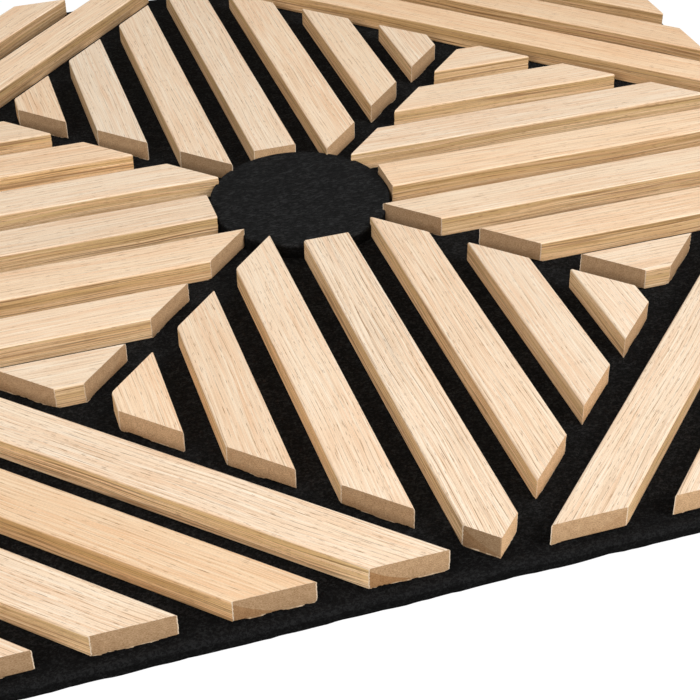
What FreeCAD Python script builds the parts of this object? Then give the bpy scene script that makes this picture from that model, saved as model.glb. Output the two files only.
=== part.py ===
import FreeCAD, Part
import math
import os

import Sketcher

# Square acoustic tile: a felt sheet carrying wood slats laid in a four-petal diamond,
# with a felt disc at the middle and slanting slats filling the four corners.
# Origin at the middle of the underside, X and Y along the sheet's edges, +Z out of the slats.

os.makedirs("parts", exist_ok=True)
doc = FreeCAD.newDocument("AcousticTile")

# Driving sizes, in millimetres
sheet = doc.addObject("Spreadsheet::Sheet", "Sizes")
sizes = [
    ("panel_side", "600"),         # felt sheet, square
    ("felt_thick", "6.5"),         # felt sheet
    ("felt_edge_round", "1.5"),    # soft upper edge of the sheet
    ("slat_wide", "25"),           # face of a slat
    ("slat_thick", "12"),          # slat above the felt
    ("slat_gap", "15.5"),          # bare felt between slats, and between the groups of slats
    ("face_edge_round", "1.1"),    # long edges of a slat, on the face side
    ("glue_edge_bevel", "0.6"),    # long edges of a slat, on the felt side
    ("point_margin", "7"),         # bare felt outside the points of the petals
    ("corner_margin", "7.5"),      # bare felt outside the cut ends in the corners
    ("disc_radius", "50"),         # felt disc at the middle
    ("disc_thick", "8"),           # felt disc at the middle
    ("disc_edge_round", "0.6"),    # soft upper rim of the disc
]
for row, (alias, value) in enumerate(sizes, start=1):
    sheet.set("A%d" % row, alias)
    sheet.set("B%d" % row, value)
    sheet.setAlias("B%d" % row, alias)
doc.recompute()


# Value of one named size, in millimetres
def size(alias):
    return float(sheet.get(alias))


# Names a sketch dimension and ties it to the sheet
def pin(sketch, index, name, expression):
    sketch.renameConstraint(index, name)
    sketch.setExpression("Constraints." + name, expression)


# One of a body's own three base planes
def origin_plane(body, role):
    for feature in body.Origin.OriginFeatures:
        if getattr(feature, "Role", "") == role:
            return feature
    raise ValueError("no plane " + role)


# Rectangle centred on the sketch's vertical axis; gives back its width and height dimensions
def rectangle(sketch, half_x, y_low, y_high):
    corners = [(-half_x, y_low), (half_x, y_low), (half_x, y_high), (-half_x, y_high)]
    for start, end in zip(corners, corners[1:] + corners[:1]):
        first = FreeCAD.Vector(start[0], start[1], 0)
        second = FreeCAD.Vector(end[0], end[1], 0)
        sketch.addGeometry(Part.LineSegment(first, second), False)
    for line in range(4):
        sketch.addConstraint(Sketcher.Constraint("Coincident", line, 2, (line + 1) % 4, 1))
    for line, kind in enumerate(["Horizontal", "Vertical", "Horizontal", "Vertical"]):
        sketch.addConstraint(Sketcher.Constraint(kind, line))
    wide = sketch.addConstraint(Sketcher.Constraint("Distance", 0, 2 * half_x))
    tall = sketch.addConstraint(Sketcher.Constraint("Distance", 1, y_high - y_low))
    return wide, tall


# Names of the straight edges at one height that run along a padded block
def long_edges(feature, height):
    names = []
    for number, edge in enumerate(feature.Shape.Edges, start=1):
        along = edge.Vertexes[-1].Point - edge.Vertexes[0].Point
        flat = abs(edge.CenterOfMass.z - height) < 1e-6
        if flat and abs(along.y) > 1e-6 and abs(along.x) < 1e-6:
            names.append("Edge%d" % number)
    return names


# Felt sheet, underside at z = 0
felt = doc.addObject("PartDesign::Body", "FeltSheet")
felt_outline = felt.newObject("Sketcher::SketchObject", "FeltOutline")
felt_outline.AttachmentSupport = [(origin_plane(felt, "XY_Plane"), "")]
felt_outline.MapMode = "FlatFace"
half = size("panel_side") / 2
wide, tall = rectangle(felt_outline, half, -half, half)
pin(felt_outline, wide, "side_x", "Sizes.panel_side")
pin(felt_outline, tall, "side_y", "Sizes.panel_side")
centred = Sketcher.Constraint("Symmetric", 0, 1, 1, 2, -1, 1)
felt_outline.addConstraint(centred)
felt_pad = felt.newObject("PartDesign::Pad", "FeltPad")
felt_pad.Profile = felt_outline
felt_pad.setExpression("Length", "Sizes.felt_thick")
doc.recompute()
felt_soft = felt.newObject("PartDesign::Fillet", "FeltSoftEdge")
rim = []
for number, edge in enumerate(felt_pad.Shape.Edges, start=1):
    if abs(edge.CenterOfMass.z - size("felt_thick")) < 1e-6:
        rim.append("Edge%d" % number)
felt_soft.Base = (felt_pad, rim)
felt_soft.setExpression("Radius", "Sizes.felt_edge_round")
felt.Label = "felt_base"

# Slat stock: one moulded length, centred on x = 0, running out along +Y, standing on z = 0
stock = doc.addObject("PartDesign::Body", "SlatStock")
section = stock.newObject("Sketcher::SketchObject", "SlatSection")
section.AttachmentSupport = [(origin_plane(stock, "XZ_Plane"), "")]
section.MapMode = "FlatFace"
wide, tall = rectangle(section, size("slat_wide") / 2, 0.0, size("slat_thick"))
pin(section, wide, "face", "Sizes.slat_wide")
pin(section, tall, "thickness", "Sizes.slat_thick")
section.addConstraint(Sketcher.Constraint("Symmetric", 0, 1, 0, 2, -1, 1))
stock_pad = stock.newObject("PartDesign::Pad", "StockPad")
stock_pad.Profile = section
stock_pad.Reversed = True
stock_pad.setExpression("Length", "Sizes.panel_side")
doc.recompute()
face_soft = stock.newObject("PartDesign::Fillet", "FaceEdges")
face_soft.Base = (stock_pad, long_edges(stock_pad, size("slat_thick")))
face_soft.setExpression("Radius", "Sizes.face_edge_round")
doc.recompute()
glue_bevel = stock.newObject("PartDesign::Chamfer", "GlueEdges")
glue_bevel.Base = (face_soft, long_edges(face_soft, 0.0))
glue_bevel.setExpression("Size", "Sizes.glue_edge_bevel")
doc.recompute()

# Layout, written once and shared by every group
pitch = "(Sizes.slat_wide + Sizes.slat_gap)"
point = "(Sizes.panel_side / 2 - Sizes.point_margin)"
cut_line = "(Sizes.panel_side / 2 - Sizes.corner_margin)"
groove = "(Sizes.slat_gap / sqrt(2))"
pitch_mm = size("slat_wide") + size("slat_gap")
point_mm = size("panel_side") / 2 - size("point_margin")
cut_line_mm = size("panel_side") / 2 - size("corner_margin")
groove_mm = size("slat_gap") / math.sqrt(2)


# Square prism standing on one corner, deeper than a slat, that trims stock to a group's outline
def square_field(name, side, corner_x, corner_y, turn):
    field = doc.addObject("Part::Box", name)
    field.setExpression("Length", side)
    field.setExpression("Width", side)
    field.setExpression("Height", "2 * Sizes.slat_thick")
    field.Placement.Rotation = FreeCAD.Rotation(FreeCAD.Vector(0, 0, 1), turn)
    field.setExpression("Placement.Base.x", corner_x)
    field.setExpression("Placement.Base.y", corner_y)
    field.setExpression("Placement.Base.z", "-Sizes.slat_thick / 2")
    return field


# Slat stock cut to one field, which mitres both ends
def trimmed(name, field):
    piece = doc.addObject("Part::Common", name)
    piece.Base = stock
    piece.Tool = field
    return piece


# Turns a slat about Z and stands it on the felt
def seat(piece, label, turn, east, north):
    piece.Label = label
    piece.Placement.Rotation = FreeCAD.Rotation(FreeCAD.Vector(0, 0, 1), turn)
    piece.setExpression("Placement.Base.x", east)
    piece.setExpression("Placement.Base.y", north)
    piece.setExpression("Placement.Base.z", "Sizes.felt_thick")


# Petals: a square field on its corner, from the middle of the tile out to the middle of each side.
# Left and right are as seen from the tile's middle, looking out along the petal.
# A slat is laid as long as its longest side is more than its thickness.
petal_side = "(%s - %s) / sqrt(2)" % (point, groove)
outermost = 0
while point_mm - groove_mm - 2 * ((outermost + 1) * pitch_mm - size("slat_wide") / 2) > size("slat_thick"):
    outermost = outermost + 1
petals = {"back": (1, 0), "left": (0, 1), "front": (-1, 0), "right": (0, -1)}
quarter_turn = 360 / len(petals)
square_end = doc.addObject("Part::Box", "SquareEnd")
square_end.setExpression("Length", "2 * Sizes.slat_wide")
square_end.setExpression("Width", "Sizes.disc_radius")
square_end.setExpression("Height", "2 * Sizes.slat_thick")
square_end.setExpression("Placement.Base.x", "-Sizes.slat_wide")
square_end.setExpression("Placement.Base.z", "-Sizes.slat_thick / 2")
beside_disc = []
pieces = [felt]
for place in range(-outermost, outermost + 1):
    aside = "%d * %s" % (place, pitch)
    if place == 0:
        where = "middle"
    elif place < 0:
        where = "left_%d" % -place
    else:
        where = "right_%d" % place
    field = square_field("Field_" + where, petal_side, "-(%s)" % aside, groove, quarter_turn / 2)
    if place == 0:
        pointed = trimmed("Pointed", field)
    for turns, (name, (across_x, across_y)) in enumerate(petals.items()):
        if place == 0:
            slat = doc.addObject("Part::Cut", "Slat_%s_%s" % (name, where))
            slat.Base = pointed
            slat.Tool = square_end
        else:
            slat = trimmed("Slat_%s_%s" % (name, where), field)
        east = "%d * %s" % (across_x, aside)
        north = "%d * %s" % (across_y, aside)
        seat(slat, "%s_petal_slat_%s" % (name, where), turns * quarter_turn, east, north)
        pieces.append(slat)
        if abs(place) == 1:
            beside_disc.append(slat)

# Corners: slats square to the tile's diagonals, the first row one gap outside the petals' diamond
inner_mm = point_mm / math.sqrt(2) + size("slat_gap")
row_count = 0
while 2 * (cut_line_mm * math.sqrt(2) - inner_mm - row_count * pitch_mm) > size("slat_thick"):
    row_count = row_count + 1
corners = ["back_right", "back_left", "front_left", "front_right"]
for row in range(row_count):
    middle = "(%s / sqrt(2) + Sizes.slat_gap + Sizes.slat_wide / 2 + %d * %s)" % (point, row, pitch)
    tip = "%s * sqrt(2) - %s" % (cut_line, middle)
    back_turn = 180 - quarter_turn / 2
    field = square_field("FieldRow%d" % (row + 1), cut_line, tip, "Sizes.panel_side / 2", back_turn)
    for turns, name in enumerate(corners):
        slat = trimmed("Slat_%s_row_%d" % (name, row + 1), field)
        turn = quarter_turn / 2 + turns * quarter_turn
        east = "%s * cos(%g deg) + Sizes.panel_side / 2 * sin(%g deg)" % (middle, turn, turn)
        north = "%s * sin(%g deg) - Sizes.panel_side / 2 * cos(%g deg)" % (middle, turn, turn)
        seat(slat, "%s_corner_slat_%d" % (name, row + 1), turn, east, north)
        pieces.append(slat)

# Felt disc, standing on the sheet, its rim nicked where the sharp slat tips press into it
disc = doc.addObject("PartDesign::Body", "DiscBlank")
disc_outline = disc.newObject("Sketcher::SketchObject", "DiscOutline")
disc_outline.AttachmentSupport = [(origin_plane(disc, "XY_Plane"), "")]
disc_outline.MapMode = "FlatFace"
circle = Part.Circle(FreeCAD.Vector(0, 0, 0), FreeCAD.Vector(0, 0, 1), size("disc_radius"))
disc_outline.addGeometry(circle, False)
disc_outline.addConstraint(Sketcher.Constraint("Coincident", 0, 3, -1, 1))
radius = disc_outline.addConstraint(Sketcher.Constraint("Radius", 0, size("disc_radius")))
pin(disc_outline, radius, "rim", "Sizes.disc_radius")
disc_pad = disc.newObject("PartDesign::Pad", "DiscPad")
disc_pad.Profile = disc_outline
disc_pad.setExpression("Length", "Sizes.disc_thick")
doc.recompute()
disc_soft = disc.newObject("PartDesign::Fillet", "DiscSoftRim")
upper = []
for number, edge in enumerate(disc_pad.Shape.Edges, start=1):
    if edge.Closed and abs(edge.CenterOfMass.z - size("disc_thick")) < 1e-6:
        upper.append("Edge%d" % number)
disc_soft.Base = (disc_pad, upper)
disc_soft.setExpression("Radius", "Sizes.disc_edge_round")
disc.setExpression("Placement.Base.z", "Sizes.felt_thick")
tips = doc.addObject("Part::Compound", "SharpTips")
tips.Links = beside_disc
nicked = doc.addObject("Part::Cut", "CentreDisc")
nicked.Base = disc
nicked.Tool = tips
nicked.Label = "centre_disc"
pieces.append(nicked)

doc.recompute()
for thing in doc.Objects:
    if "Invalid" in thing.State or "Error" in thing.State:
        raise RuntimeError("%s did not rebuild: %s" % (thing.Name, thing.State))
for piece in pieces:
    shape = piece.Shape
    if shape.isNull() or not shape.isValid() or len(shape.Solids) != 1:
        raise RuntimeError("%s is not one sound solid" % piece.Label)
for piece in pieces:
    piece.Shape.exportStep("parts/%s.step" % piece.Label)
total = sum(piece.Shape.Volume for piece in pieces)
print("%d pieces, %.0f cubic mm" % (len(pieces), total))
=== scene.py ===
# Square acoustic tile: oak-veneered slats in a four-petal diamond, glued to black pressed felt.
# Lengths are in metres. X and Y run along the felt's edges, Z out of the slats.

import math

import bpy
import numpy as np
from mathutils import Matrix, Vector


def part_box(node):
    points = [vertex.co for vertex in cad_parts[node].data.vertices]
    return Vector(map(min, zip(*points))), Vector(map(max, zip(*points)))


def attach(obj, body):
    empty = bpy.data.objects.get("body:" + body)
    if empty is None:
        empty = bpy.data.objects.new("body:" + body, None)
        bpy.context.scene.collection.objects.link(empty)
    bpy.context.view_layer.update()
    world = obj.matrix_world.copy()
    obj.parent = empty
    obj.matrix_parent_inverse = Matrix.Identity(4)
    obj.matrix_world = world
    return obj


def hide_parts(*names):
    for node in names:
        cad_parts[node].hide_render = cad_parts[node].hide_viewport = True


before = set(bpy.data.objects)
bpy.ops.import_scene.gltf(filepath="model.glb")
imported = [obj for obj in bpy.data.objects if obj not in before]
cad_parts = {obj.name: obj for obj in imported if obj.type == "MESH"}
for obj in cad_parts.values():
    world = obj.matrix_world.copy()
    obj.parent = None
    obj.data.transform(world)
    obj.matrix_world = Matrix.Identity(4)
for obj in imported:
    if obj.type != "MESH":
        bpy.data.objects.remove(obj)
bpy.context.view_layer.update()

print("frame loaded:", len(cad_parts), "parts")

scene = bpy.context.scene
mm = 0.001

# What every piece is laid out from, the same lengths as the solids
layout = {
    "feltTop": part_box("felt_base")[1][2],
    "feltHalf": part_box("felt_base")[1][0],
    "slatWide": 25 * mm,
    "slatThick": 12 * mm,
    "slatGap": 15.5 * mm,
    "petalPoint": 293 * mm,      # points of the petals, from the tile's middle
    "cornerCut": 292.5 * mm,     # cut ends in the corners, from the tile's middle
    "discRadius": 50 * mm,
}


# Camera, as the photo was taken
cameraLook = {
    "place": (-0.20316, -0.73129, 0.47522),
    "right": (0.95088779, -0.30933164, -0.01124041),
    "down": (-0.19395908, -0.56714501, -0.80045388),
    "lens": 81.886,
    "sensor": 36,
    "clip": (0.01, 60),
}


def makeCamera(look):
    data = bpy.data.cameras.new("productCamera")
    data.sensor_width = look["sensor"]
    data.lens = look["lens"]
    data.clip_start, data.clip_end = look["clip"]
    camera = bpy.data.objects.new("productCamera", data)
    scene.collection.objects.link(camera)
    right = np.array(look["right"])
    up = -np.array(look["down"])
    back = np.cross(right, up)
    turn = Matrix(np.stack([right, up, back], axis=1).tolist()).to_4x4()
    camera.matrix_world = Matrix.Translation(look["place"]) @ turn
    scene.camera = camera


makeCamera(cameraLook)
print("camera ready")


# Floor, world and lamps
studio = {
    "zenithLevel": 0.46,                 # light from straight above
    "horizonLevel": 0.12,                # light from low all round, which the slats' sides see
    # lamps: what each adds on the tile's face, where it stands and how wide it is
    "lamps": {
        "keyLamp": {"level": 0.41, "place": (0.93, -0.93, 0.92), "side": 0.8},
        "fillLamp": {"level": 0.27, "place": (-1.30, -1.30, 1.15), "side": 1.0},
    },
    "floorColour": (0.42, 0.42, 0.42, 1),
    "floorWhite": 0.94,                  # share of plain white that the camera sees in the floor
    "floorGlow": 1.06,                   # strength of that white
    "floorHalf": 12.0,
    "floorDrop": 0.3 * mm,               # how far the floor lies below the felt
}


# Nodes of one tree, made and joined by short calls
def addNode(tree, kind, **settings):
    made = tree.nodes.new("ShaderNode" + kind)
    for key, value in settings.items():
        setattr(made, key, value)
    return made


# Puts a plain value or another node's output into a socket
def feed(tree, socket, value):
    if isinstance(value, bpy.types.NodeSocket):
        tree.links.new(value, socket)
    else:
        socket.default_value = value


def calc(tree, operation, *values, clamp=False):
    made = addNode(tree, "Math", operation=operation, use_clamp=clamp)
    for socket, value in zip(made.inputs, values):
        feed(tree, socket, value)
    return made.outputs[0]


# Smooth step of a value from low to high
def remap(tree, value, low, high, toLow=0.0, toHigh=1.0):
    made = addNode(tree, "MapRange", interpolation_type="SMOOTHSTEP")
    for socket, given in zip(made.inputs, (value, low, high, toLow, toHigh)):
        feed(tree, socket, given)
    return made.outputs[0]


# Value spread over the mesh under a name
def attribute(tree, name):
    return addNode(tree, "Attribute", attribute_name=name).outputs["Fac"]


# The same value in red, green and blue
def grey(tree, value):
    made = addNode(tree, "CombineColor")
    for socket in made.inputs:
        feed(tree, socket, value)
    return made.outputs[0]


# Red, green and blue of a colour
def splitColour(tree, colour):
    made = addNode(tree, "SeparateColor")
    feed(tree, made.inputs[0], colour)
    return made.outputs


def stretch(tree, vector, factors):
    made = addNode(tree, "VectorMath", operation="MULTIPLY")
    feed(tree, made.inputs[0], vector)
    feed(tree, made.inputs[1], factors)
    return made.outputs[0]


def noise(tree, vector, detail=2.0, roughness=0.5, distortion=0.0, scale=1.0):
    made = addNode(tree, "TexNoise")
    feed(tree, made.inputs["Vector"], vector)
    feed(tree, made.inputs["Scale"], scale)
    feed(tree, made.inputs["Detail"], detail)
    feed(tree, made.inputs["Roughness"], roughness)
    feed(tree, made.inputs["Distortion"], distortion)
    return made.outputs["Fac"]


def blendColours(tree, share, first, second, how="MIX"):
    made = addNode(tree, "Mix", data_type="RGBA", blend_type=how)
    feed(tree, made.inputs[0], share)
    feed(tree, made.inputs[6], first)
    feed(tree, made.inputs[7], second)
    return made.outputs[2]


# Colour as it is read off a paint chart (0 to 255), turned into linear values
def chart(red, green, blue):
    share = np.array([red, green, blue]) / 255
    linear = np.where(share <= 0.04045, share / 12.92, ((share + 0.055) / 1.055) ** 2.4)
    return (*linear.tolist(), 1.0)


# Camera, glossy and transmission rays, which see the plain white round the tile
def seenDirectly(tree):
    path = addNode(tree, "LightPath")
    seen = calc(tree, "MAXIMUM", path.outputs["Is Camera Ray"], path.outputs["Is Glossy Ray"])
    return calc(tree, "MAXIMUM", seen, path.outputs["Is Transmission Ray"])


def makeWorld(look):
    world = bpy.data.worlds.new("studioWorld")
    world.use_nodes = True
    tree = world.node_tree
    tree.nodes.clear()
    back = addNode(tree, "Background")
    rise = addNode(tree, "SeparateXYZ")
    feed(tree, rise.inputs[0], addNode(tree, "TexCoord").outputs["Generated"])
    high = calc(tree, "MAXIMUM", rise.outputs["Z"], 0.0)
    rising = look["zenithLevel"] - look["horizonLevel"]
    level = calc(tree, "MULTIPLY_ADD", high, rising, look["horizonLevel"])
    plain = calc(tree, "SUBTRACT", 1.0, level)
    feed(tree, back.inputs["Color"], (1, 1, 1, 1))
    strength = calc(tree, "MULTIPLY_ADD", plain, seenDirectly(tree), level)
    feed(tree, back.inputs["Strength"], strength)
    feed(tree, addNode(tree, "OutputWorld").inputs["Surface"], back.outputs[0])
    scene.world = world


def makeFloor(look):
    material = bpy.data.materials.new("paleFloor")
    material.use_nodes = True
    tree = material.node_tree
    tree.nodes.clear()
    matt = addNode(tree, "BsdfDiffuse")
    feed(tree, matt.inputs["Color"], look["floorColour"])
    plain = addNode(tree, "Emission")
    feed(tree, plain.inputs["Strength"], look["floorGlow"])
    mixed = addNode(tree, "MixShader")
    feed(tree, mixed.inputs[0], calc(tree, "MULTIPLY", seenDirectly(tree), look["floorWhite"]))
    feed(tree, mixed.inputs[1], matt.outputs[0])
    feed(tree, mixed.inputs[2], plain.outputs[0])
    feed(tree, addNode(tree, "OutputMaterial").inputs["Surface"], mixed.outputs[0])
    far = look["floorHalf"]
    low = -look["floorDrop"]
    mesh = bpy.data.meshes.new("studioFloor")
    corners = [(-far, -far, low), (far, -far, low), (far, far, low), (-far, far, low)]
    mesh.from_pydata(corners, [], [(0, 1, 2, 3)])
    mesh.materials.append(material)
    floor = bpy.data.objects.new("studioFloor", mesh)
    scene.collection.objects.link(floor)


# A square lamp whose light falls on the tile's face at the level asked for:
# power = level x pi squared x distance squared / cosine of the slant
def makeLamp(name, look):
    place = np.array(look["place"])
    distance = float(np.linalg.norm(place))
    slant = place[2] / distance
    data = bpy.data.lights.new(name, "AREA")
    data.shape = "SQUARE"
    data.size = look["side"]
    data.energy = look["level"] * math.pi ** 2 * distance ** 2 / slant
    lamp = bpy.data.objects.new(name, data)
    scene.collection.objects.link(lamp)
    lamp.location = look["place"]
    lamp.rotation_mode = "QUATERNION"
    lamp.rotation_quaternion = lamp.location.to_track_quat("Z", "Y")


makeWorld(studio)
makeFloor(studio)
for lampName, lampLook in studio["lamps"].items():
    makeLamp(lampName, lampLook)
scene.view_settings.view_transform = "Standard"
print("studio ready")


# Skin of a block of lattice points counted across, along and up: gives the lattice place of each skin
# point, the four-sided faces, and which side each face lies on (0 and 1 across, 2 and 3 along, 4 and 5 up)
def blockSkin(across, along, up):
    number = -np.ones((across, along, up), int)
    place = np.indices(number.shape)
    ends = np.array([across, along, up]).reshape(3, 1, 1, 1) - 1
    skin = ((place == 0) | (place == ends)).any(axis=0)
    number[skin] = np.arange(skin.sum())
    sheets = [(number[0], True), (number[-1], False), (number[:, 0], False), (number[:, -1], True)]
    sheets += [(number[:, :, 0], True), (number[:, :, -1], False)]
    faces = []
    sides = []
    for side, (sheet, turned) in enumerate(sheets):
        corners = [sheet[:-1, :-1], sheet[1:, :-1], sheet[1:, 1:], sheet[:-1, 1:]]
        quads = np.stack([corner.ravel() for corner in corners], axis=1)
        faces.append(quads[:, ::-1] if turned else quads)
        sides.append(np.full(len(quads), side))
    return place[:, skin], np.concatenate(faces), np.concatenate(sides)


# Smooth random values from 0 to 1 along a line or over a plane: random values at whole numbers,
# eased into one another with 3t^2 - 2t^3
def easedValues(rng, *coordinates):
    low = [np.floor(line).astype(int) for line in coordinates]
    start = [line.min() for line in low]
    table = rng.random([line.max() - line.min() + 2 for line in low])
    ease = [line - np.floor(line) for line in coordinates]
    ease = [share * share * (3 - 2 * share) for share in ease]
    total = 0
    for corner in np.ndindex(*[2] * len(coordinates)):
        weight = 1
        for step, share in zip(corner, ease):
            weight = weight * (share if step else 1 - share)
        at = tuple(line - first + step for line, first, step in zip(low, start, corner))
        total = total + weight * table[at]
    return total


def makePiece(name, points, faces, materials, faceMaterial, sharpAngle):
    mesh = bpy.data.meshes.new(name)
    mesh.from_pydata(points, [], faces)
    for material in materials:
        mesh.materials.append(material)
    mesh.polygons.foreach_set("material_index", faceMaterial.astype(np.int32))
    mesh.polygons.foreach_set("use_smooth", np.ones(len(faces), bool))
    mesh.set_sharp_from_angle(angle=math.radians(sharpAngle))
    piece = bpy.data.objects.new(name, mesh)
    scene.collection.objects.link(piece)
    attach(piece, "root")
    return piece


def addValues(mesh, name, values):
    layer = mesh.attributes.new(name, "FLOAT", "POINT")
    layer.data.foreach_set("value", values.astype(np.float32))


def startGroup(name, inputs, outputs):
    group = bpy.data.node_groups.new(name, "ShaderNodeTree")
    for label, kind, value in inputs:
        socket = group.interface.new_socket(name=label, in_out="INPUT", socket_type="NodeSocket" + kind)
        if value is not None:
            socket.default_value = value
    for label, kind in outputs:
        group.interface.new_socket(name=label, in_out="OUTPUT", socket_type="NodeSocket" + kind)
    return group, group.nodes.new("NodeGroupInput"), group.nodes.new("NodeGroupOutput")


def placeGroup(tree, group, **values):
    made = tree.nodes.new("ShaderNodeGroup")
    made.node_tree = group
    for label, value in values.items():
        feed(tree, made.inputs[label], value)
    return made


def startMaterial(name):
    material = bpy.data.materials.new(name)
    material.use_nodes = True
    tree = material.node_tree
    tree.nodes.clear()
    shader = addNode(tree, "BsdfPrincipled")
    feed(tree, addNode(tree, "OutputMaterial").inputs["Surface"], shader.outputs[0])
    return material, tree, shader


def addBump(tree, shader, height, strength, distance):
    bump = addNode(tree, "Bump")
    feed(tree, bump.inputs["Strength"], strength)
    feed(tree, bump.inputs["Distance"], distance)
    feed(tree, bump.inputs["Height"], height)
    feed(tree, shader.inputs["Normal"], bump.outputs[0])


veneerLook = {
    "cream": chart(252, 235, 212),
    "pale": chart(248, 225, 197),
    "peach": chart(243, 210, 177),
    "growth": chart(218, 178, 138),      # soft tan side of each year's growth
    "thread": chart(204, 164, 124),
    "pore": chart(138, 96, 56),
    "blush": chart(255, 243, 228),
    "sideTint": chart(255, 244, 224),    # painted shade: the veneer made darker and warmer down a slat's sides
    "sideOlive": chart(216, 191, 148),   # band under the rounded edge
    "sideStreak": chart(168, 130, 92),   # broad and thin dark streaks down there
    "sideDark": chart(112, 78, 46),
    "glueLine": chart(222, 206, 182),    # light line along the felt
    # how many spots of each noise go on a metre: along the grain, across it and in depth
    "wanderSpots": (8, 26, 1),
    "rippleSpots": (38, 110, 1),
    "cloudSpots": (12, 210, 1),
    "broadSpots": (2.5, 70, 1),
    "sliverSpots": (22, 900, 1),
    "driftSpots": (3.4, 50, 1),
    "fadeSpots": (9, 110, 1),
    "threadSpots": (22, 2300, 1),
    "bandSpots": (5, 420, 1),
    "rillSpots": (3, 370, 1),
    "rillGapSpots": (16, 240, 1),
    "poreLineSpots": (30, 330, 1),
    "speckSpots": (1100, 2600, 1),
    # side streaks: spots, where they set in, how strong and which colour
    "streaks": (((6, 950, 1), 0.45, 0.45, "sideStreak"), ((7, 1900, 1), 0.52, 0.8, "sideDark")),
    # pore dashes: spots, how thick, and the share of them that stands away from the yearly lines
    "dashes": (((60, 1300, 1), 0.24, 0.03), ((150, 2100, 1), 0.27, 0.16)),
    "wanderBy": 6 * mm,                  # how far the grain strays from straight
    "rippleBy": 0.8 * mm,
    "driftYears": 3.4,                   # how many years a slow wave shifts the yearly lines by
    "yearsPerMetre": 410.0,
    "oliveFrom": (3 * mm, 8 * mm),       # heights between which the olive band comes up
    "glueFrom": (0.5 * mm, 1.1 * mm),    # heights between which the pale line along the felt fades
    "toneLow": 0.88,                     # brightness of the darkest slat, and what a full tone adds
    "toneBy": 0.2,
    "speckBy": 0.3,
    "roughness": 0.66,
    "shine": 0.25,
    "poreDepth": 0.12 * mm,
    "poreRelief": 0.6,
}
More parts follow.
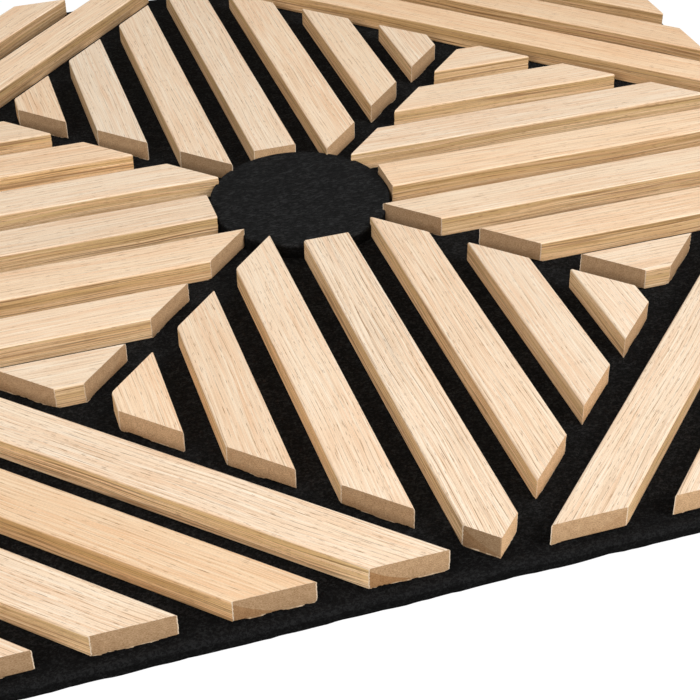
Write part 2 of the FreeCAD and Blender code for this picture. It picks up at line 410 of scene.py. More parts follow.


# Straight-grained veneer on (along, around) coordinates. The flow wanders a little. Each year's growth
# is f = fract(around x years per metre + slow noise): the tone deepens up to f = 1 and starts afresh,
# and the pores, which are stretched dots, crowd there. Side is 0 on the face and 1 down the sides,
# which get painted shade as a darker tint and painted light or shade by each slat's share, and Lift is
# the height above the felt
def buildVeneerGroup(look):
    inputs = [
        ("Grain", "Vector", None), ("Tone", "Float", 0.5), ("Blush", "Float", 0.0),
        ("Pores", "Float", 0.5), ("Lines", "Float", 0.5), ("Side", "Float", 0.0),
        ("Lift", "Float", 0.0), ("SideTone", "Float", 0.0),
    ]
    outputs = [("Color", "Color"), ("Height", "Float"), ("Roughness", "Float")]
    tree, given, result = startGroup("veneerGrain", inputs, outputs)
    grain, tone, blush, pores, lines, side, lift, sideTone = given.outputs[:8]

    # flow of the grain
    wander = calc(tree, "SUBTRACT", noise(tree, stretch(tree, grain, look["wanderSpots"]), 1.0), 0.5)
    ripple = calc(tree, "SUBTRACT", noise(tree, stretch(tree, grain, look["rippleSpots"]), 1.0), 0.5)
    shift = calc(tree, "MULTIPLY", ripple, look["rippleBy"])
    shift = calc(tree, "MULTIPLY_ADD", wander, look["wanderBy"], shift)
    offset = addNode(tree, "CombineXYZ")
    feed(tree, offset.inputs["Y"], shift)
    moved = addNode(tree, "VectorMath", operation="ADD")
    feed(tree, moved.inputs[0], grain)
    feed(tree, moved.inputs[1], offset.outputs[0])
    flow = moved.outputs[0]
    across = addNode(tree, "SeparateXYZ")
    feed(tree, across.inputs[0], flow)

    # ground tone: peach clouds on pale wood, with lighter slivers
    cloud = noise(tree, stretch(tree, flow, look["cloudSpots"]), 2.0, 0.6)
    broad = noise(tree, stretch(tree, flow, look["broadSpots"]), 0.0)
    warm = calc(tree, "MULTIPLY_ADD", broad, 0.5, calc(tree, "MULTIPLY", cloud, 0.9))
    colour = blendColours(tree, remap(tree, warm, 0.5, 0.92), look["pale"], look["peach"])
    sliver = noise(tree, stretch(tree, flow, look["sliverSpots"]), 3.0, 0.65)
    light = remap(tree, sliver, 0.44, 0.66)
    colour = blendColours(tree, light, colour, look["cream"])

    # yearly growth
    drift = noise(tree, stretch(tree, grain, look["driftSpots"]), 1.0)
    drift = calc(tree, "MULTIPLY", drift, look["driftYears"])
    phase = calc(tree, "MULTIPLY_ADD", across.outputs["Y"], look["yearsPerMetre"], drift)
    year = calc(tree, "FRACT", phase)
    ending = remap(tree, year, 0.95, 1.0, 1.0, 0.0)
    deepen = calc(tree, "MULTIPLY", remap(tree, year, 0.45, 0.95), ending)
    fromLine = calc(tree, "ABSOLUTE", calc(tree, "SUBTRACT", year, 0.9))
    crowd = remap(tree, fromLine, 0.07, 0.16, 1.0, 0.0)
    fade = remap(tree, noise(tree, stretch(tree, grain, look["fadeSpots"]), 1.0), 0.34, 0.62)
    strength = calc(tree, "MULTIPLY_ADD", lines, 0.75, 0.08)
    strength = calc(tree, "MULTIPLY_ADD", side, 0.6, strength)
    yearShare = calc(tree, "MULTIPLY", calc(tree, "MULTIPLY", deepen, fade), strength)
    yearShare = calc(tree, "MULTIPLY", yearShare, 0.62, clamp=True)
    colour = blendColours(tree, yearShare, colour, look["growth"])
    thread = noise(tree, stretch(tree, flow, look["threadSpots"]), 2.0, 0.65)
    most = calc(tree, "MULTIPLY_ADD", strength, 0.35, 0.32)
    threadShare = calc(tree, "MULTIPLY", remap(tree, thread, 0.48, 0.66), most, clamp=True)
    colour = blendColours(tree, threadShare, colour, look["thread"])

    # down the sides: an olive band, brown streaks, thin dark ones and a light line along the felt
    band = noise(tree, stretch(tree, flow, look["bandSpots"]), 3.0, 0.65)
    olive = remap(tree, lift, *look["oliveFrom"], 0.25, 1.0)
    olive = calc(tree, "MULTIPLY", olive, remap(tree, band, 0.36, 0.6))
    colour = blendColours(tree, calc(tree, "MULTIPLY", olive, side), colour, look["sideOlive"])
    for spots, low, most, tint in look["streaks"]:
        streak = noise(tree, stretch(tree, flow, spots), 3.0, 0.68)
        share = calc(tree, "MULTIPLY", side, most)
        share = calc(tree, "MULTIPLY", remap(tree, streak, low, low + 0.2), share)
        colour = blendColours(tree, share, colour, look[tint])
    # long crisp lines, where a drawn-out noise passes one half: dark down the sides, faint on the face
    rill = noise(tree, stretch(tree, flow, look["rillSpots"]), 1.0)
    rill = calc(tree, "ABSOLUTE", calc(tree, "SUBTRACT", rill, 0.5))
    rill = remap(tree, rill, 0.006, 0.03, 1.0, 0.0)
    gaps = noise(tree, stretch(tree, grain, look["rillGapSpots"]), 1.0)
    rill = calc(tree, "MULTIPLY", rill, remap(tree, gaps, 0.36, 0.56))
    share = calc(tree, "MULTIPLY_ADD", side, 0.48, calc(tree, "MULTIPLY", lines, 0.2))
    rill = calc(tree, "MULTIPLY", rill, share, clamp=True)
    colour = blendColours(tree, rill, colour, look["sideDark"])
    # a pale line at the foot of the sides, along the felt
    glue = calc(tree, "MULTIPLY", remap(tree, lift, *look["glueFrom"], 0.6, 0.0), side)
    colour = blendColours(tree, glue, colour, look["glueLine"])

    # pores: long thin lines and dashes where the years meet, and short fine ones between them
    bare = calc(tree, "MULTIPLY_ADD", side, 0.3, pores)
    shown = remap(tree, noise(tree, stretch(tree, grain, look["poreLineSpots"]), 1.0), 0.53, 0.6)
    shown = calc(tree, "MULTIPLY", shown, remap(tree, fromLine, 0.02, 0.085, 1.0, 0.0))
    depth = calc(tree, "MULTIPLY", shown, calc(tree, "MULTIPLY_ADD", lines, 0.45, 0.3))
    for spots, thick, stray in look["dashes"]:
        dash = addNode(tree, "TexVoronoi", feature="F1", voronoi_dimensions="2D")
        feed(tree, dash.inputs["Vector"], stretch(tree, flow, spots))
        feed(tree, dash.inputs["Scale"], 1.0)
        chance = splitColour(tree, dash.outputs["Color"])
        likely = calc(tree, "MULTIPLY", bare, calc(tree, "MULTIPLY_ADD", crowd, 1 - stray, stray))
        wanted = calc(tree, "LESS_THAN", chance[0], likely)
        core = remap(tree, dash.outputs["Distance"], thick * 0.5, thick, 1.0, 0.0)
        deep = calc(tree, "MULTIPLY_ADD", chance[1], 0.65, 0.2)
        deep = calc(tree, "MULTIPLY", calc(tree, "MULTIPLY", core, wanted), deep)
        depth = calc(tree, "MAXIMUM", depth, deep)
    colour = blendColours(tree, depth, colour, look["pore"])

    # fine speckle over all, the slat's own tone and blush, and painted light and shade down the sides
    speck = noise(tree, stretch(tree, grain, look["speckSpots"]), 1.0)
    bright = calc(tree, "MULTIPLY_ADD", tone, look["toneBy"], look["toneLow"])
    bright = calc(tree, "MULTIPLY_ADD", calc(tree, "SUBTRACT", speck, 0.5), look["speckBy"], bright)
    # painted light or shade down the sides, by each slat's share
    bright = calc(tree, "MULTIPLY", bright, calc(tree, "MULTIPLY_ADD", side, sideTone, 1.0))
    colour = blendColours(tree, 1.0, colour, grey(tree, bright), "MULTIPLY")
    colour = blendColours(tree, blush, colour, look["blush"], "MULTIPLY")
    # painted shade: a darker, warmer tint down the sides
    colour = blendColours(tree, side, colour, look["sideTint"], "MULTIPLY")
    feed(tree, result.inputs["Color"], colour)
    height = calc(tree, "MULTIPLY_ADD", thread, -0.4, calc(tree, "MULTIPLY", depth, -1.0))
    feed(tree, result.inputs["Height"], height)
    rough = calc(tree, "MULTIPLY_ADD", sliver, -0.2, look["roughness"] + 0.1)
    feed(tree, result.inputs["Roughness"], rough)
    return tree


def makeVeneer(look, group):
    material, tree, shader = startMaterial("oakVeneer")
    uv = addNode(tree, "UVMap", uv_map="grain")
    slatLook = addNode(tree, "Attribute", attribute_name="slatLook")
    tone, blush, pores = splitColour(tree, slatLook.outputs["Color"])
    veneer = placeGroup(
        tree, group, Grain=uv.outputs[0], Tone=tone, Blush=blush, Pores=pores,
        Lines=attribute(tree, "slatLines"), Side=slatLook.outputs["Alpha"],
        Lift=attribute(tree, "lift"), SideTone=attribute(tree, "sideTone"),
    )
    feed(tree, shader.inputs["Base Color"], veneer.outputs["Color"])
    feed(tree, shader.inputs["Roughness"], veneer.outputs["Roughness"])
    feed(tree, shader.inputs["Specular IOR Level"], look["shine"])
    addBump(tree, shader, veneer.outputs["Height"], look["poreRelief"], look["poreDepth"])
    return material


boardLook = {
    "core": chart(209, 173, 134),
    "dark": chart(163, 126, 88),
    "fleck": chart(110, 82, 56),
    "veneerEdge": chart(248, 229, 203),
    "backing": chart(236, 210, 176),
    "sawShade": chart(228, 211, 190),    # multiplies the core on the burnt side of a saw arc
    "cloudSpots": (300, 300, 1),         # spots a metre along the cut, up it and in depth
    "speckSpots": (1150, 2300, 1),
    "fleckSpots": (900, 2300, 1),
    "raggedSpots": (700, 900, 1),
    "patchSpots": (260, 120, 1),
    "burnFade": 0.15 * mm,               # how softly the saw mark's line ends
    "rimWide": 0.34 * mm,
    "backingWide": 0.8 * mm,
    "roughness": 0.85,
    "shine": 0.15,
    "relief": 0.5,
    "reliefDepth": 0.15 * mm,
}


# Sawn fibreboard core: fine speckle, a thin light line of veneer round it and a backing strip below
def makeBoard(look):
    material, tree, shader = startMaterial("sawnBoard")
    uv = addNode(tree, "UVMap", uv_map="grain")
    place = uv.outputs[0]
    cloud = noise(tree, stretch(tree, place, look["cloudSpots"]), 2.0, 0.6)
    speck = noise(tree, stretch(tree, place, look["speckSpots"]), 3.0, 0.7)
    mixed = calc(tree, "MULTIPLY_ADD", cloud, 0.25, speck)
    colour = blendColours(tree, remap(tree, mixed, 0.42, 0.82), look["dark"], look["core"])
    fleck = noise(tree, stretch(tree, place, look["fleckSpots"]), 1.0)
    colour = blendColours(tree, remap(tree, fleck, 0.65, 0.75, 0.0, 0.5), colour, look["fleck"])
    fade = look["burnFade"]
    burnt = remap(tree, attribute(tree, "sawArc"), -fade, fade)
    burnt = calc(tree, "MULTIPLY", burnt, attribute(tree, "sawBurn"))
    colour = blendColours(tree, burnt, colour, look["sawShade"], "MULTIPLY")
    # the cut ends' own tone together with painted light and shade, per slat
    own = grey(tree, attribute(tree, "cutTone"))
    colour = blendColours(tree, 1.0, colour, own, "MULTIPLY")
    ragged = noise(tree, stretch(tree, place, look["raggedSpots"]), 2.0)
    wide = calc(tree, "MULTIPLY", calc(tree, "MULTIPLY_ADD", ragged, 2.2, -0.1), look["rimWide"])
    edge = calc(tree, "DIVIDE", attribute(tree, "rimDistance"), wide)
    colour = blendColours(tree, remap(tree, edge, 0.75, 1.05, 0.7, 0.0), colour, look["veneerEdge"])
    strip = calc(tree, "MULTIPLY", calc(tree, "MULTIPLY_ADD", ragged, 0.8, 0.6), look["backingWide"])
    below = calc(tree, "DIVIDE", attribute(tree, "lift"), strip)
    patch = noise(tree, stretch(tree, place, look["patchSpots"]), 2.0)
    patch = remap(tree, patch, 0.45, 0.6, 0.15, 0.9)
    below = calc(tree, "MULTIPLY", remap(tree, below, 0.7, 1.1, 1.0, 0.0), patch)
    colour = blendColours(tree, below, colour, look["backing"])
    feed(tree, shader.inputs["Base Color"], colour)
    feed(tree, shader.inputs["Roughness"], look["roughness"])
    feed(tree, shader.inputs["Specular IOR Level"], look["shine"])
    addBump(tree, shader, mixed, look["relief"], look["reliefDepth"])
    return material


feltLook = {
    "deep": chart(13, 13, 13),
    "fibre": chart(41, 41, 41),
    "lint": chart(120, 117, 113),
    "discDeep": chart(26, 26, 26),
    "discFibre": chart(61, 61, 61),
    "backingComb": (0.85, 1.1, 1.0),     # below 1 draws the fibres out along that axis
    "discComb": (0.42, 1.0, 1.0),
    "wallLift": -0.2,                    # painted shade: how much darker the fibres of a cut edge in the open are
    "innerLift": 1.0,                    # painted light: how much lighter the felt inside the border is, between the slats
    "cloudSpots": 230,                   # spots a metre
    "mottleSpots": 850,
    "curls": ((1050, 0.55, 0.03), (1900, 0.5, 0.05)),    # spots, roughness and how wide a fibre is
    "lintSpots": 95.0,
    "lintShare": 0.05,
    "roughness": 1.0,
    "shine": 0.04,
    "pile": 0.5 * mm,
}


# Pressed felt: clouded tone, curled fibres from the crests of a bent noise, and a few pale lint specks.
# The soft upper edge gets a painted highlight where its mark is 1. The cut-edge mark is 1 on a cut edge
# in the open and below 0 on one that stands in shade, and both get painted shade, the shaded one more.
# Comb draws the fibres out, and where the inside mark is 1, inside the border, painted light lifts the
# felt between the slats
def buildFeltGroup(look):
    inputs = [
        ("Place", "Vector", None), ("Deep", "Color", None), ("Fibre", "Color", None),
        ("Lint", "Color", None), ("Fuzz", "Float", 0.0), ("Wall", "Float", 0.0),
        ("Comb", "Vector", None), ("Inner", "Float", 0.0),
    ]
    tree, given, result = startGroup("feltFibre", inputs, [("Color", "Color"), ("Height", "Float")])
    place, deep, fibre, lint, fuzz, wall, comb, inner = given.outputs[:8]
    combed = stretch(tree, place, comb)
    cloud = noise(tree, combed, 2.0, 0.6, 0.2, look["cloudSpots"])
    mottle = noise(tree, combed, 2.0, 0.7, 0.3, look["mottleSpots"])
    crest = 0.0
    for spots, roughness, wide in look["curls"]:
        curl = noise(tree, combed, 1.0, roughness, 1.2, spots)
        off = calc(tree, "ABSOLUTE", calc(tree, "SUBTRACT", curl, 0.5))
        crest = calc(tree, "MAXIMUM", crest, remap(tree, off, 0.0, wide, 1.0, 0.0))
    share = calc(tree, "MULTIPLY", remap(tree, mottle, 0.44, 0.66), 0.8)
    share = calc(tree, "MULTIPLY_ADD", crest, 0.55, share)
    clouded = calc(tree, "MULTIPLY_ADD", remap(tree, cloud, 0.3, 0.7), 0.55, 0.45)
    share = calc(tree, "MULTIPLY", share, clouded)
    # painted shade on the fibres of a cut edge
    share = calc(tree, "MULTIPLY", share, calc(tree, "MULTIPLY_ADD", wall, look["wallLift"], 1.0))
    # painted highlight on the soft upper edge
    share = calc(tree, "MULTIPLY", share, calc(tree, "MULTIPLY_ADD", fuzz, 0.9, 1.0))
    share = calc(tree, "MULTIPLY_ADD", fuzz, 0.2, share, clamp=True)
    colour = blendColours(tree, share, deep, fibre)
    # painted shade on a cut edge that stands in shade
    shade = calc(tree, "MULTIPLY_ADD", wall, 0.8, 1.0, clamp=True)
    # painted light lifting the felt inside the border, between the slats
    shade = calc(tree, "MULTIPLY_ADD", inner, look["innerLift"], shade)
    colour = blendColours(tree, 1.0, colour, grey(tree, shade), "MULTIPLY")
    spot = addNode(tree, "TexVoronoi", feature="F1")
    feed(tree, spot.inputs["Vector"], place)
    feed(tree, spot.inputs["Scale"], look["lintSpots"])
    chance = splitColour(tree, spot.outputs["Color"])
    rare = calc(tree, "LESS_THAN", chance[0], look["lintShare"])
    speck = remap(tree, spot.outputs["Distance"], 0.015, 0.045, 0.5, 0.0)
    speck = calc(tree, "MULTIPLY", speck, rare)
    feed(tree, result.inputs["Color"], blendColours(tree, speck, colour, lint))
    feed(tree, result.inputs["Height"], calc(tree, "MULTIPLY_ADD", crest, 0.5, mottle))
    return tree


def makeFelt(name, deep, fibre, comb, look, group):
    material, tree, shader = startMaterial(name)
    felt = placeGroup(
        tree, group, Place=addNode(tree, "TexCoord").outputs["Object"], Deep=look[deep],
        Fibre=look[fibre], Lint=look["lint"], Comb=look[comb], Fuzz=attribute(tree, "fuzz"),
        Wall=attribute(tree, "wall"), Inner=attribute(tree, "inner"),
    )
    feed(tree, shader.inputs["Base Color"], felt.outputs["Color"])
    feed(tree, shader.inputs["Roughness"], look["roughness"])
    feed(tree, shader.inputs["Specular IOR Level"], look["shine"])
    addBump(tree, shader, felt.outputs["Height"], 1.0, look["pile"])
    return material


veneerGroup = buildVeneerGroup(veneerLook)
feltGroup = buildFeltGroup(feltLook)
oakVeneer = makeVeneer(veneerLook, veneerGroup)
sawnBoard = makeBoard(boardLook)
backingFelt = makeFelt("feltOfBacking", "deep", "fibre", "backingComb", feltLook, feltGroup)
discFelt = makeFelt("feltOfDisc", "discDeep", "discFibre", "discComb", feltLook, feltGroup)
print("finishes ready")


slatShape = {
    "faceRound": 0.9 * mm,        # long edges on the face side
    "glueBevel": 0.6 * mm,        # long edges on the felt side
    "columnStep": 0.5 * mm,
    "stationStep": 22 * mm,
    "endStation": 3.0 * mm,       # last ring before a cut end
    "tearLevels": (0, 0.32, 0.38, 0.66, 0.72, 1.05, 1.12),    # in mm
    "levelStep": 0.6 * mm,
    "tearDeep": 2.2 * mm,         # how far the backing strip is torn back from a cut end
    "tearSteps": (0.35, 0.69, 1.09),    # tops of the strip's layers in mm, and each one's limit
    "tearLimits": (0.34, 0.5, 0.66),
    "rimTear": 0.35 * mm,         # ragged edge of the veneer at a cut end
    "rimBand": 0.7 * mm,          # how far in from the side it reaches, and how softly it ends
    "rimFade": 0.4 * mm,
    "rimGrain": 0.9 * mm,
    "faceRimLess": 0.25 * mm,     # how much thinner the veneer's line is along the face
    "wrapFrom": 0.35 * mm,        # depth below the face where the side's look sets in
    "wrapOver": 0.7 * mm,
    "bladeRadius": 50 * mm,       # saw mark: a circle, where its middle lies, and how far that shifts
    "bladeAside": 13.8 * mm,
    "bladeAbove": 49.5 * mm,
    "shakeAside": 3 * mm,
    "shakeAbove": 1.5 * mm,
    "sharpAngle": 32,
    "firstSeed": 1000,
}

# Slats that stand out from the rest: tone, pores, lines and blush from 0 to 1, saw marks on the cut
# ends, how light those are (the slat's tone there together with painted light and shade), a painted
# light difference between the two facets of a pointed one, and painted light or shade on the long sides
slatCharacter = {
    "front_left_corner_slat_1": {
        "tone": 0.55, "pores": 0.95, "lines": 0.5, "blush": 0.1, "saw": 1.0, "cut": 1.0, "side": 0.3,
    },
    "front_left_corner_slat_2": {
        "tone": 0.25, "pores": 0.25, "lines": 0.3, "blush": 1.0, "saw": 0.8, "cut": 0.86, "side": 0.15,
    },
    "front_left_corner_slat_3": {
        "tone": 0.5, "pores": 0.8, "lines": 0.5, "blush": 0.15, "cut": 0.87, "side": 0.2,
    },
    "front_left_corner_slat_4": {"cut": 0.78, "side": 0.15},
    "front_right_corner_slat_1": {
        "tone": 0.3, "pores": 1.0, "lines": 0.45, "blush": 0.1, "cut": 1.08, "side": 0.18,
    },
    "front_right_corner_slat_2": {"tone": 0.3, "cut": 1.2},
    "front_petal_slat_middle": {
        "tone": 0.5, "pores": 0.75, "lines": 1.0, "blush": 0.0, "saw": 0.6, "cut": 1.12,
        "facets": -0.42, "side": 0.05,
    },
    "front_petal_slat_left_1": {
        "tone": 0.45, "pores": 0.5, "lines": 0.7, "blush": 0.2, "cut": 1.5, "side": 0.16,
    },
    "front_petal_slat_left_2": {"cut": 1.5},
    "front_petal_slat_left_3": {"cut": 1.15, "side": 0.1},
    "front_petal_slat_right_1": {
        "tone": 0.5, "pores": 0.65, "lines": 0.25, "blush": 0.2, "cut": 1.0, "side": 0.26,
    },
    "front_petal_slat_right_2": {"side": 0.36, "cut": 1.12},
    "front_petal_slat_right_3": {"cut": 1.26, "side": 0.2},
    "left_petal_slat_left_3": {"cut": 1.0},
    "left_petal_slat_right_2": {"side": 0.18},
    "left_petal_slat_right_3": {"side": 0.1},
    "back_petal_slat_left_3": {"cut": 0.88},
    "back_petal_slat_left_2": {"side": -0.2},
    "back_petal_slat_left_1": {"cut": 0.76, "side": -0.1},
    "back_petal_slat_middle": {"side": -0.15},
    "back_petal_slat_right_1": {"cut": 1.2, "side": -0.08},
    "right_petal_slat_middle": {"blush": 0.7, "side": -0.12},
    "right_petal_slat_right_1": {"cut": 0.82},
    "right_petal_slat_right_2": {"blush": 0.6, "cut": 0.9},
    "back_left_corner_slat_1": {"tone": 0.95, "blush": 0.45, "side": -0.2},
    "back_left_corner_slat_2": {"tone": 0.95, "blush": 0.45, "side": -0.2},
    "back_right_corner_slat_1": {"blush": 1.0},
    "back_right_corner_slat_2": {"blush": 1.0},
    "back_right_corner_slat_3": {"blush": 0.9},
    "back_right_corner_slat_4": {"blush": 0.9},
}


# Section of a slat: a rectangle lattice whose upper corners are pulled onto arcs and lower ones onto
# bevels, by scaling each corner's own square about its inner point
def slatSection(across, height, shape):
    half = layout["slatWide"] / 2
    top = layout["slatThick"]
    side = np.sign(across)
    outward = np.abs(across)
    x = outward.copy()
    z = height.copy()
    arc = shape["faceRound"]
    dx = outward - (half - arc)
    dz = height - (top - arc)
    near = (dx > 0) & (dz > 0)
    scale = np.maximum(dx, dz)[near] / np.hypot(dx, dz)[near]
    x[near] = half - arc + dx[near] * scale
    z[near] = top - arc + dz[near] * scale
    bevel = shape["glueBevel"]
    dx = outward - (half - bevel)
    dz = bevel - height
    near = (dx > 0) & (dz > 0)
    scale = np.maximum(dx, dz)[near] / (dx + dz)[near]
    x[near] = half - bevel + dx[near] * scale
    z[near] = bevel - dz[near] * scale
    return side * x, z


# Levels up a slat: those of the torn strip, an even step, and the rounding's own thirds
def slatLevels(shape):
    low = np.array(shape["tearLevels"]) * mm
    high = layout["slatThick"] - shape["faceRound"]
    even = np.linspace(low[-1], high, int(round((high - low[-1]) / shape["levelStep"])) + 1)
    return np.concatenate([low[:-1], even, high + shape["faceRound"] * np.array([1, 2, 3]) / 3])


# Columns across a slat: the rounding's own thirds at both sides and an even step between them
def slatColumns(shape):
    half = layout["slatWide"] / 2
    inner = half - shape["faceRound"]
    count = 2 * int(round(inner / shape["columnStep"])) + 1
    middle = np.linspace(-inner, inner, count)
    edge = shape["faceRound"] * np.array([1, 2 / 3, 1 / 3])
    return np.concatenate([-(inner + edge), middle, inner + edge[::-1]])


# Backing strip torn back from a cut end: each of its thin layers is missing where a smooth random line
# passes that layer's own limit, with fine ragged teeth on top
def tornStrip(rng, across, height, shape):
    line = across / layout["slatWide"] + 0.5
    slow = easedValues(rng, line * rng.uniform(2.5, 5.0) + rng.uniform(0, 5))
    teeth = easedValues(rng, line * 22 + 3) * 0.6 + easedValues(rng, line * 49 + 9) * 0.4
    deep = np.zeros_like(across)
    for step, limit in zip(shape["tearSteps"], shape["tearLimits"]):
        past = np.clip((slow + 0.35 * (teeth - 0.5) - limit) / 0.06, 0, 1)
        gone = past * (0.4 + 0.6 * slow) + 0.15 * teeth
        deep = np.where(height < step * mm, np.maximum(deep, gone), deep)
    return shape["tearDeep"] * deep


# A slat's look, with its painted light and shade: drawn at random, and then what is given for it above
def slatLooks(rng, node):
    character = {
        "tone": float(np.clip(rng.normal(0.5, 0.09), 0.25, 0.75)),
        "blush": float(np.clip(rng.normal(0.25, 0.2), 0, 0.8)),
        "pores": float(rng.uniform(0.15, 0.5)),
        "lines": float(rng.uniform(0.1, 0.6)),
        "saw": float(rng.uniform(0, 0.3)),
        "cut": float(rng.uniform(0.9, 1.1)),
        "facets": 0.0,
        "side": 0.0,
    }
    character.update(slatCharacter.get(node, {}))
    return character


# Saw mark: the burnt part of a cut lies outside a wide circle that stands above it, to one side.
# Gives the distance from that circle
def sawDistance(rng, node, x, z, shape):
    shake = 0 if node in slatCharacter else 1
    turned = rng.choice([-1, 1], p=[0.8, 0.2]) if shake else -1
    alongCut = x * math.sqrt(2) * turned
    aside = shape["bladeAside"] + shake * rng.uniform(-1, 1) * shape["shakeAside"]
    above = shape["bladeAbove"] + shake * rng.uniform(-1, 1) * shape["shakeAbove"]
    return np.hypot(alongCut - aside, z - above) - shape["bladeRadius"]


def makeSlat(node, turn, middle, start, end, number, shape):
    rng = np.random.default_rng(shape["firstSeed"] + number)
    half = layout["slatWide"] / 2
    top = layout["slatThick"]
    columns = slatColumns(shape)
    levels = slatLevels(shape)
    length = float((end(columns) - start(columns)).max())
    rings = max(4, int(round(length / shape["stationStep"])) + 1)
    lattice, faces, sides = blockSkin(len(columns), rings + 2, len(levels))
    across = columns[lattice[0]]
    height = levels[lattice[2]]
    x, z = slatSection(across, height, shape)

    # rings along the slat, the two end ones torn
    low = start(x)
    high = end(x)
    near = np.minimum(shape["endStation"], (high - low) * 0.2)
    share = np.clip((lattice[1] - 1) / (rings - 1), 0, 1)
    y = low + near + (high - low - 2 * near) * share
    rim = np.clip((np.abs(across) - half + shape["rimBand"]) / shape["rimFade"], 0, 1)
    for ring, limit, inward in ((0, low, 1), (rings + 1, high, -1)):
        torn = tornStrip(rng, x, height, shape)
        ragged = easedValues(rng, height / shape["rimGrain"], np.sign(x) * 2)
        torn = np.minimum(torn + rim * shape["rimTear"] * ragged, near * 0.8)
        y = np.where(lattice[1] == ring, limit + inward * torn, y)

    angle = math.radians(turn)
    points = np.stack([
        (x + middle) * math.cos(angle) - y * math.sin(angle),
        (x + middle) * math.sin(angle) + y * math.cos(angle),
        z + layout["feltTop"],
    ], axis=1)
    cut = (sides == 2) | (sides == 3)
    materials = [oakVeneer, sawnBoard]
    piece = makePiece("veneered_" + node, points, faces, materials, cut, shape["sharpAngle"])
    mesh = piece.data
    character = slatLooks(rng, node)

    # unrolled veneer: along the slat, and round its section from the middle of the face
    around = np.sign(x) * (np.abs(x) + top - z)
    fromEnd = rng.uniform(0, 5)
    fromSide = rng.uniform(0, 1)
    wrapped = np.stack([y + fromEnd, around + fromSide], axis=1)
    lastHalf = y > (low + high) / 2
    sawn = np.stack([np.where(lastHalf, 3, 0) + x * math.sqrt(2), z + fromSide], axis=1)
    loops = faces.ravel()
    onCut = np.repeat(cut, 4)[:, None]
    unrolled = np.where(onCut, sawn[loops], wrapped[loops]).astype(np.float32)
    layer = mesh.uv_layers.new(name="grain")
    layer.data.foreach_set("uv", unrolled.ravel())

    look = np.empty((len(points), 4), np.float32)
    look[:, 0] = character["tone"]
    look[:, 1] = character["blush"]
    look[:, 2] = character["pores"]
    look[:, 3] = np.clip((top - z - shape["wrapFrom"]) / shape["wrapOver"], 0, 1)
    colours = mesh.attributes.new("slatLook", "FLOAT_COLOR", "POINT")
    colours.data.foreach_set("color", look.ravel())
    everywhere = np.ones(len(points))
    addValues(mesh, "slatLines", everywhere * character["lines"])
    fromFace = top - height + shape["faceRimLess"]
    addValues(mesh, "rimDistance", np.minimum(half - np.abs(across), fromFace))
    addValues(mesh, "lift", z)
    # painted light or shade down the long sides, per slat
    addValues(mesh, "sideTone", everywhere * character["side"])
    # cut ends: the slat's tone with painted light and shade, and painted light that differs between a
    # point's two facets
    addValues(mesh, "cutTone", character["cut"] + character["facets"] * np.sign(x))
    addValues(mesh, "sawArc", sawDistance(rng, node, x, z, shape))
    addValues(mesh, "sawBurn", everywhere * character["saw"])
    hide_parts(node)
    return len(faces)


# Petals: the slat's inner end follows v = |u| + gap / sqrt 2 and its outer end v = point - |u|, with u
# across the petal and v out from the tile's middle. Corners: both ends follow the felt's own edges
def makeSlats():
    wide = layout["slatWide"]
    pitch = wide + layout["slatGap"]
    groove = layout["slatGap"] / math.sqrt(2)
    point = layout["petalPoint"]
    number = 0
    total = 0
    for quarter, petal in enumerate(("back", "left", "front", "right")):
        for place in range(-3, 4):
            middle = place * pitch
            if place == 0:
                node = petal + "_petal_slat_middle"
                start = lambda x: np.full_like(x, layout["discRadius"])
            else:
                node = "%s_petal_slat_%s_%d" % (petal, "left" if place < 0 else "right", abs(place))
                start = lambda x, middle=middle: np.abs(x + middle) + groove
            end = lambda x, middle=middle: point - np.abs(x + middle)
            number = number + 1
            total += makeSlat(node, 90 * quarter, middle, start, end, number, slatShape)
    inner = point / math.sqrt(2) + layout["slatGap"]
    for quarter, corner in enumerate(("back_right", "back_left", "front_left", "front_right")):
        for row in range(5):
            middle = inner + wide / 2 + row * pitch
            reach = layout["cornerCut"] * math.sqrt(2) - middle
            start = lambda x, reach=reach: x - reach
            end = lambda x, reach=reach: reach - x
            number = number + 1
            node = "%s_corner_slat_%d" % (corner, row + 1)
            total += makeSlat(node, 45 + 90 * quarter, middle, start, end, number, slatShape)
    print("slats ready:", number, "slats,", total, "faces")


makeSlats()


feltShape = {
    "edgeRound": 2.0 * mm,
    "cells": 176,                 # even columns across the backing
    "waveLong": 16 * mm,          # wobble of the cut edge
    "waveDeep": 1.6 * mm,
    "waveFade": 4 * mm,           # how far in the wobble reaches
    "relief": 0.18 * mm,          # hollows pressed into the face
    "reliefLong": 7 * mm,
    "innerFrom": 12 * mm,         # border along the edge left without the painted light, and how softly that light sets in
    "innerOver": 14 * mm,
    "backingAngle": 70,           # edges sharper than this stay sharp
    "backingSeed": 41,
    "discEdgeRound": 0.9 * mm,
    "discCells": 96,
    "discWobble": 0.3 * mm,
    "discAngle": 60,
    "discSeed": 42,
    "wallLevels": 7,
}


# Lattice lines across a width: an even run, and ever closer lines over the soft edge at both sides
def softLines(half, edge, cells):
    even = np.linspace(-(half - edge), half - edge, cells + 1)
    rim = (half - edge) + edge * np.array([0.25, 0.5, 0.72, 0.88, 0.97, 1.0])
    return np.concatenate([-rim[::-1], even, rim])


# Drop of a soft upper edge at an inset d from the rim: r - sqrt(r^2 - (r - d)^2)
def softDrop(inset, radius):
    short = np.clip(radius - inset, 0, radius)
    return radius - np.sqrt(np.maximum(radius ** 2 - short ** 2, 0))


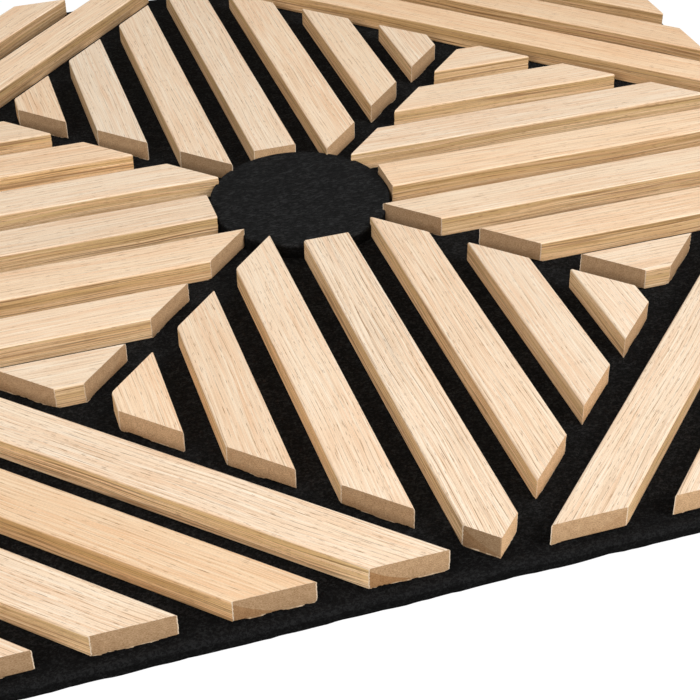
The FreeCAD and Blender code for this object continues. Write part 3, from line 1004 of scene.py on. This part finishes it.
# Marks the soft upper edge for a painted highlight and the wall below it for painted shade,
# from the inset and the drop below the face
def addFeltEdge(mesh, inset, drop, edge, rimShare, wallShare):
    soft = np.exp(-((inset - 0.5 * edge) / (1.5 * edge)) ** 2) * (drop < 1.3 * edge)
    addValues(mesh, "fuzz", rimShare * soft)
    addValues(mesh, "wall", wallShare * np.clip(drop / edge - 0.7, 0, 1))


# Shallow hollows pressed into the face, fading out over the soft edge
def hollows(rng, x, y, inset, edge, shape):
    long = shape["reliefLong"]
    relief = shape["relief"] * easedValues(rng, x / long, y / long)
    return relief * np.clip(inset / edge, 0, 1)


def edgeWave(rng, line, shape):
    turns = line / shape["waveLong"]
    return shape["waveDeep"] * (easedValues(rng, turns) * 0.6 + easedValues(rng, turns * 3.3) * 0.4)


# Felt backing: a square lattice with hollows on the face, soft upper edges, and cut edges that wobble
# inwards by a smooth random wave fading over a few millimetres
def makeBacking(shape):
    rng = np.random.default_rng(shape["backingSeed"])
    half = layout["feltHalf"]
    top = layout["feltTop"]
    edge = shape["edgeRound"]
    lines = softLines(half, edge, shape["cells"])
    lattice, faces, sides = blockSkin(len(lines), len(lines), shape["wallLevels"])
    x = lines[lattice[0]]
    y = lines[lattice[1]]
    share = lattice[2] / (shape["wallLevels"] - 1)
    inset = half - np.maximum(np.abs(x), np.abs(y))
    face = top - softDrop(inset, edge) - hollows(rng, x, y, inset, edge, shape)
    z = np.where(lattice[2] == shape["wallLevels"] - 1, face, share * (top - edge))
    level = 0.9 + 0.1 * share
    for sign in (-1, 1):
        fade = np.exp(-(half - sign * x) / shape["waveFade"])
        x = x - sign * edgeWave(rng, y, shape) * fade * level
        fade = np.exp(-(half - sign * y) / shape["waveFade"])
        y = y - sign * edgeWave(rng, x, shape) * fade * level
    points = np.stack([x, y, z], axis=1)
    plain = np.zeros(len(faces))
    sharp = shape["backingAngle"]
    piece = makePiece("pressed_felt_backing", points, faces, [backingFelt], plain, sharp)
    addFeltEdge(piece.data, inset, top - z, edge, 1.0, 1.0)
    # painted light on the felt inside the border, between the slats
    inner = np.clip((inset - shape["innerFrom"]) / shape["innerOver"], 0, 1)
    addValues(piece.data, "inner", inner * (z > 0.9 * top))
    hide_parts("felt_base")
    print("felt backing ready:", len(faces), "faces")


# Distance from the disc's middle to its rim in one direction: the radius, or less where the sharp tip
# of a slat beside the middle one stands in it. A tip is the wedge u >= side, v >= u + groove
def discRim(angle):
    side = layout["slatWide"] / 2 + layout["slatGap"]
    groove = layout["slatGap"] / math.sqrt(2)
    quarter = np.abs((angle + math.pi / 4) % (math.pi / 2) - math.pi / 4)
    least = 1e-6    # keeps the divisions finite
    slope = np.maximum(np.cos(quarter) - np.sin(quarter), least)
    tip = np.maximum(side / np.maximum(np.sin(quarter), least), groove / slope)
    return np.minimum(layout["discRadius"], tip)


# Felt disc: a square lattice drawn onto circles, r = rim x larger of |p| and |q|
def makeDisc(shape):
    rng = np.random.default_rng(shape["discSeed"])
    low = layout["feltTop"]
    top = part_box("centre_disc")[1][2]
    radius = layout["discRadius"]
    edge = shape["discEdgeRound"]
    lines = softLines(radius, edge, shape["discCells"]) / radius
    lattice, faces, sides = blockSkin(len(lines), len(lines), shape["wallLevels"])
    p = lines[lattice[0]]
    q = lines[lattice[1]]
    ring = np.maximum(np.abs(p), np.abs(q))
    # angle: the turn is even along each of the square's four sides
    least = 1e-9    # keeps the divisions finite
    upright = np.abs(p) >= np.abs(q)
    flat = np.where(upright, q / np.maximum(np.abs(p), least), p / np.maximum(np.abs(q), least))
    facing = np.where(p >= 0, 0, math.pi)
    facing = np.where(upright, facing, np.where(q >= 0, math.pi / 2, -math.pi / 2))
    angle = facing + flat * math.pi / 4 * np.where(upright, np.sign(p), -np.sign(q))
    share = lattice[2] / (shape["wallLevels"] - 1)
    wobble = shape["discWobble"] * easedValues(rng, (angle + 4) * 9) * (0.5 + 0.5 * share)
    reach = ring * (discRim(angle) - wobble)
    x = reach * np.cos(angle)
    y = reach * np.sin(angle)
    inset = (1 - ring) * radius
    face = top - softDrop(inset, edge) - hollows(rng, x, y, inset, edge, shape)
    z = np.where(lattice[2] == shape["wallLevels"] - 1, face, low + share * (top - edge - low))
    points = np.stack([x, y, z], axis=1)
    plain = np.zeros(len(faces))
    piece = makePiece("pressed_felt_disc", points, faces, [discFelt], plain, shape["discAngle"])
    # a faint painted highlight on the disc's upper edge, and painted shade on its wall
    addFeltEdge(piece.data, inset, top - z, edge, 0.1, -0.8)
    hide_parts("centre_disc")
    print("felt disc ready:", len(faces), "faces")


makeBacking(feltShape)
makeDisc(feltShape)
